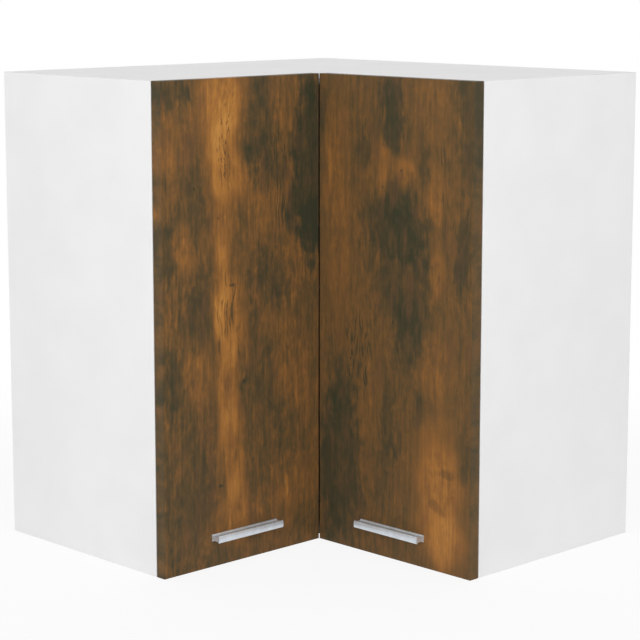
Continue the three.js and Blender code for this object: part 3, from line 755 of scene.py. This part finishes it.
def handle_mesh():
    """I-shaped aluminium bar along y, its seat towards -x, with rounded edges and broken ends."""
    grip = HANDLE_FRONT - FRONT_THICKNESS
    front = [(HANDLE_FRONT - FRONT_CROWN * share ** 2, FRONT_HALF * share, 0) for share in CROWN_SHARES]
    upper = [
        (HANDLE_FRONT - FRONT_CROWN, FRONT_HALF, FRONT_EDGE_RADIUS),
        (grip, FRONT_HALF, INNER_RADIUS),
        (grip, WEB_HALF, INNER_RADIUS),
        (REAR_THICKNESS, WEB_HALF, INNER_RADIUS),
        (REAR_THICKNESS, REAR_HALF, REAR_EDGE_RADIUS),
        (HANDLE_SEAT, REAR_HALF, 0),
    ]
    lower = [(x, -y, radius) for x, y, radius in reversed(upper)]
    outline = rounded(upper + lower + front)
    work = bmesh.new()
    loops = [[work.verts.new((point.x, y, point.y)) for point in outline]
             for y in (-HANDLE_LENGTH / 2, HANDLE_LENGTH / 2)]
    rims = [edge for face in prism(work, *loops) for edge in face.edges]
    bmesh.ops.bevel(work, geom=rims, offset=HANDLE_END_BREAK, segments=2, profile=0.5, affect="EDGES")
    return finish_mesh("handle_bar", work, 25)


def replace_handles():
    """The bars with rounded edges, each where the plain bar is."""
    bar = handle_mesh()
    for side in SIDES:
        middle = middle_of(f"{side}_handle")
        if side == "left":
            matrix = Matrix.Translation((DOOR_FACE, middle.y, middle.z))
        else:
            place = Matrix.Translation((middle.x, -DOOR_FACE, middle.z))
            matrix = place @ Matrix.Rotation(-math.pi / 2, 4, "Z")
        piece = add_piece(f"{side}_handle_bar", bar, matrix, ALUMINIUM, f"{side}_door")
        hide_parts(f"{side}_handle")


# ---- Edge bands of the doors' free edges ----
BAND = 0.6 * MM
BAND_ROUND = 0.45 * MM


def add_edge_bands():
    """The band glued on each door's free edge: a strip with rounded long edges, in the door's decor."""
    for side in SIDES:
        node = f"{side}_door"
        low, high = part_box(node)
        free_edge = high.y if side == "left" else -low.x
        outline = rounded([
            (DOOR_BACK, free_edge, 0),
            (DOOR_BACK, free_edge + BAND, BAND_ROUND),
            (DOOR_FACE, free_edge + BAND, BAND_ROUND),
            (DOOR_FACE, free_edge, 0),
        ])
        if side == "right":
            outline = [Vector((-point.y, -point.x)) for point in outline]
        work = bmesh.new()
        loops = [[work.verts.new((point.x, point.y, height)) for point in outline]
                 for height in (low.z, high.z)]
        prism(work, *loops)
        decor = NODES[node].data.materials[0]
        add_piece(f"{side}_door_edge_band", finish_mesh("edge_band", work), Matrix.Identity(4), decor,
                  node)


# ---- Screws ----
WOOD_SCREW = {"head_radius": 3.5 * MM, "head_height": 2.0 * MM, "core": 1.45 * MM, "length": 11.5 * MM}
HANDLE_SCREW = {"head_radius": 4.1 * MM, "head_height": 2.1 * MM, "core": 1.7 * MM, "length": 21.5 * MM}
HANDLE_SCREW_PITCH = 0.7 * MM
HANDLE_SCREW_THREAD = 0.12 * MM
SCREW_INSET = 0.05 * MM
TOWARDS_WALL = {"left": Vector((-1, 0, 0)), "right": Vector((0, 1, 0))}
TOWARDS_INSIDE = {"left": Vector((0, 1, 0)), "right": Vector((-1, 0, 0))}


def turn_towards(outward):
    """Rotation that takes z to `outward`."""
    return outward.to_track_quat("Z", "Y").to_matrix().to_4x4()


def replace_screws():
    """Every plain screw gets a cross-head screw with a real thread, seated where the plain one sits."""
    wood = screw_mesh("wood_screw", **WOOD_SCREW)
    bolt = screw_mesh("handle_bolt", pitch=HANDLE_SCREW_PITCH, thread=HANDLE_SCREW_THREAD, **HANDLE_SCREW)
    for node in sorted(NODES):
        if "screw" not in node:
            continue
        side = node.split("_")[0]
        on_panel = "plate" in node
        is_bolt = "handle" in node
        outward = (TOWARDS_INSIDE if on_panel else TOWARDS_WALL)[side]
        mesh = bolt if is_bolt else wood
        height = (HANDLE_SCREW if is_bolt else WOOD_SCREW)["head_height"]
        low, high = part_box(node)
        reach = abs((high - low).dot(outward)) / 2
        underside = (low + high) / 2 + outward * (reach - height - SCREW_INSET)
        matrix = Matrix.Translation(underside) @ turn_towards(outward)
        body = "carcass" if on_panel else f"{side}_door"
        piece = add_piece(f"{node}_detail", mesh, matrix, ZINC, body)
        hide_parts(node)


# ---- Screws and rivets of the hinges ----
ARM_BACK = BOARD + 13.5 * MM
HEAD_LIFT = 0.02 * MM
# Each screw on an arm: its head's radius and height, and how far it is behind the panel's front edge.
ARM_SCREWS = {
    "fixing": (4.1 * MM, 2.2 * MM, 52 * MM),
    "adjusting": (3.0 * MM, 1.5 * MM, 38 * MM),
}
RIVET_RADIUS = 2.0 * MM
RIVET_HEIGHT = 0.6 * MM
RIVET_LIFT = 0.05 * MM
OUTER_PIVOT_IN = 41.25 * MM
OUTER_PIVOT_BEHIND = 13.6 * MM
ALONG_X = Matrix.Rotation(math.radians(90), 4, "Y")
TURNED_OVER = Matrix.Rotation(math.pi, 4, "X")


def hinge_fittings():
    """Fixing and adjusting screws on each hinge arm, and the heads of the outer link's rivet."""
    heads = {kind: head_mesh(f"{kind}_head", radius, height)
             for kind, (radius, height, _) in ARM_SCREWS.items()}
    rivet = dome_mesh("rivet_head", RIVET_RADIUS, RIVET_HEIGHT)
    for side in SIDES:
        for level in LEVELS:
            hinge = f"{side}_{level}"
            wing = wing_matrix(side, middle_of(f"{hinge}_hinge_arm").z)
            for kind, (_, _, behind) in ARM_SCREWS.items():
                matrix = wing @ Matrix.Translation((ARM_BACK + HEAD_LIFT, -behind, 0)) @ ALONG_X
                add_piece(f"{hinge}_{kind}_screw", heads[kind], matrix, STEEL, "carcass")
            low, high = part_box(f"{hinge}_outer_link")
            half_width = (high.z - low.z) / 2 + RIVET_LIFT
            # These ends lie along the wing's z, which points down on the left side.
            for name, end in (("lower", -1), ("upper", 1)):
                spot = wing @ Matrix.Translation((OUTER_PIVOT_IN, -OUTER_PIVOT_BEHIND, end * half_width))
                matrix = spot if end > 0 else spot @ TURNED_OVER
                add_piece(f"{hinge}_rivet_{name}", rivet, matrix, STEEL, "carcass")


# ---- Cams of the board joints ----
CAM_RADIUS = 7.4 * MM
CAM_HEIGHT = 0.5 * MM
CAM_RIM = 0.6
CAM_INSET = 34 * MM
CAM_PLACES = (("front", 45 * MM), ("rear", 235 * MM))


def cam_fittings():
    """Zinc cam discs of the board joints, two at each end of the top and bottom panels."""
    disc = head_mesh("cam_disc", CAM_RADIUS, CAM_HEIGHT, rim=CAM_RIM)
    for side in SIDES:
        for panel, height in (("bottom", BOARD), ("top", HEIGHT - BOARD)):
            for place, behind in CAM_PLACES:
                matrix = wing_matrix(side, height) @ Matrix.Translation((BOARD + CAM_INSET, -behind, 0))
                if (panel == "bottom") != (side == "right"):
                    matrix = matrix @ TURNED_OVER
                add_piece(f"{side}_{panel}_cam_{place}", disc, matrix, ZINC, "carcass")


# ---- Bumper pads ----
PAD_RADIUS = 4.0 * MM
PAD_HEIGHT = 1.0 * MM
PAD_INSET = 16 * MM


def bumper_pads():
    """Clear soft pads on each door's back, near its free edge, where it meets the carcass."""
    pad = dome_mesh("bumper_pad", PAD_RADIUS, PAD_HEIGHT, sides=24)
    plastic = pad_material()
    turn = Matrix.Rotation(math.radians(90), 4, "X")
    for side in SIDES:
        for name, height in (("lower", BOARD / 2), ("upper", HEIGHT - BOARD / 2)):
            spot = Matrix.Translation((DOOR_WIDTH - PAD_INSET, DOOR_BACK - FRONT_EDGE, 0))
            matrix = wing_matrix(side, height) @ spot @ turn
            add_piece(f"{side}_{name}_bumper_pad", pad, matrix, plastic, f"{side}_door")


# ---- Back sheets and their nails ----
NAIL_RADIUS = 1.7 * MM
NAIL_HEIGHT = 0.35 * MM
NAIL_INSET = 6 * MM
CORNER_INSET = 10 * MM
NAIL_RISE = 3 * MM
NAIL_DROP = 9 * MM
NAILS_ALONG = 6
NAILS_UP = 5


def back_sheets():
    """The back sheets, a nail head's height thinner behind, so that the heads end at the solid's face."""
    sheet = sheet_material()
    for side in SIDES:
        node = f"{side}_back_panel"
        low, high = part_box(node)
        mesh = NODES[node].data.copy()
        for vertex in mesh.vertices:
            if side == "left":
                vertex.co.x = max(vertex.co.x, low.x + NAIL_HEIGHT)
            else:
                vertex.co.y = min(vertex.co.y, high.y - NAIL_HEIGHT)
        mesh.materials.clear()
        piece = add_piece(f"{side}_back_sheet", mesh, Matrix.Identity(4), sheet, "carcass")
        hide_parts(node)


def nail_spots(ends, lowest, highest):
    """Places across and up: a row along the lower edge and a column at each end."""
    row = [(ends[0] + (ends[1] - ends[0]) * step / (NAILS_ALONG - 1), lowest) for step in range(NAILS_ALONG)]
    columns = [(end, lowest + (highest - lowest) * step / NAILS_UP)
               for end in ends for step in range(1, NAILS_UP + 1)]
    return row + columns


def back_nails():
    """Round nail heads that hold the back sheets, along their lower edge, ends and corner."""
    head = dome_mesh("nail_head", NAIL_RADIUS, NAIL_HEIGHT, sides=14)
    for side in SIDES:
        low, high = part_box(f"{side}_back_panel")
        if side == "left":
            ends = (low.y + NAIL_INSET, high.y - CORNER_INSET)
        else:
            ends = (low.x + CORNER_INSET, high.x - NAIL_INSET)
        turn = turn_towards(TOWARDS_WALL[side])
        spots = nail_spots(ends, low.z + NAIL_RISE, high.z - NAIL_DROP)
        for number, (across, height) in enumerate(spots, start=1):
            if side == "left":
                place = (low.x + NAIL_HEIGHT, across, height)
            else:
                place = (across, high.y - NAIL_HEIGHT, height)
            add_piece(f"{side}_nail_{number}", head, Matrix.Translation(place) @ turn, ZINC,
                      "carcass")


# ---- Floor and world ----
FLOOR_RADII = (0.5, 1.0, 2.0, 4.0, 8.0)
FLOOR_SIDES = 96
FLOOR_DROP = 0.6 * MM
SPECK_SIZE = (4 * MM, 4 * MM, 4 * MM)
FADE_FROM = 0.45
FADE_TO = 1.2
NEAR_WHITENESS = 0.88
AMBIENT = 0.54


def mirrored_or_seen(graph):
    """1 for rays from the camera and for rays mirrored or let through by a surface."""
    rays = graph.add("ShaderNodeLightPath").outputs
    seen = graph.math("MAXIMUM", rays["Is Camera Ray"], rays["Is Glossy Ray"])
    return graph.math("MAXIMUM", seen, rays["Is Transmission Ray"])


def floor_material():
    """Pale matt floor with a faint shadow near the cabinet, plain white further out."""
    material = bpy.data.materials.new("floor")
    material.use_nodes = True
    graph = Graph(material.node_tree)
    place = graph.add("ShaderNodeTexCoord").outputs["Object"]
    speck = graph.noise(place, SPECK_SIZE, 2)
    pale = graph.mix(speck, srgb(250, 250, 250), srgb(246, 246, 246))
    matt = graph.add("ShaderNodeBsdfDiffuse", {"Color": pale}).outputs[0]
    glow = graph.add("ShaderNodeEmission", {"Color": WHITE, "Strength": 1.0}).outputs[0]
    distance = graph.length(graph.vector("MULTIPLY", place, (1.0, 1.0, 0.0)))
    fade = graph.span(distance, FADE_FROM, FADE_TO, NEAR_WHITENESS, 1.0)
    shown = graph.math("MULTIPLY", mirrored_or_seen(graph), fade)
    mixed = graph.add("ShaderNodeMixShader", {0: shown, 1: matt, 2: glow}).outputs[0]
    graph.add("ShaderNodeOutputMaterial", {"Surface": mixed})
    return material


def make_floor():
    """Wide round floor just under the cabinet."""
    work = bmesh.new()
    rings = [ring(work, radius, 0, FLOOR_SIDES) for radius in FLOOR_RADII]
    for inner, outer in zip(rings, rings[1:]):
        bridge(work, inner, outer)
    work.faces.new(rings[0])
    floor = new_object("floor", finish_mesh("floor", work))
    floor.location.z = -FLOOR_DROP
    floor.data.materials.append(floor_material())


def make_world():
    """White surroundings that light the cabinet less than they show."""
    world = bpy.data.worlds.new("studio")
    bpy.context.scene.world = world
    world.use_nodes = True
    graph = Graph(world.node_tree)
    strength = graph.span(mirrored_or_seen(graph), 0.0, 1.0, AMBIENT, 1.0, smooth=False)
    sky = graph.add("ShaderNodeBackground", {"Color": WHITE, "Strength": strength}).outputs[0]
    graph.add("ShaderNodeOutputWorld", {"Surface": sky})


# ---- Lamps ----
# Each square lamp: place, the point it faces, size in metres and power in watts.
LAMPS = {
    "key": ((1.3, -3.1, 1.3), (0, -0.1, 0.3), 2.0, 35),
    "fill": ((3.1, -1.3, 1.3), (0.1, 0, 0.3), 2.0, 30),
    "rim": ((-2.4, 2.4, 1.1), (0, 0, 0.3), 2.4, 21),
}


def make_lamps():
    """The lamps of LAMPS."""
    for name, (place, target, size, power) in LAMPS.items():
        lamp = new_object(name, bpy.data.lights.new(name, "AREA"))
        lamp.location = place
        look_along(lamp, Vector(target) - Vector(place))
        lamp.data.shape = "SQUARE"
        lamp.data.size = size
        lamp.data.energy = power


# ---- The scene ----
make_camera()
dress_nodes()
replace_handles()
add_edge_bands()
replace_screws()
hinge_fittings()
cam_fittings()
bumper_pads()
back_sheets()
back_nails()
make_floor()
make_world()
make_lamps()
bpy.context.scene.view_settings.view_transform = "Standard"
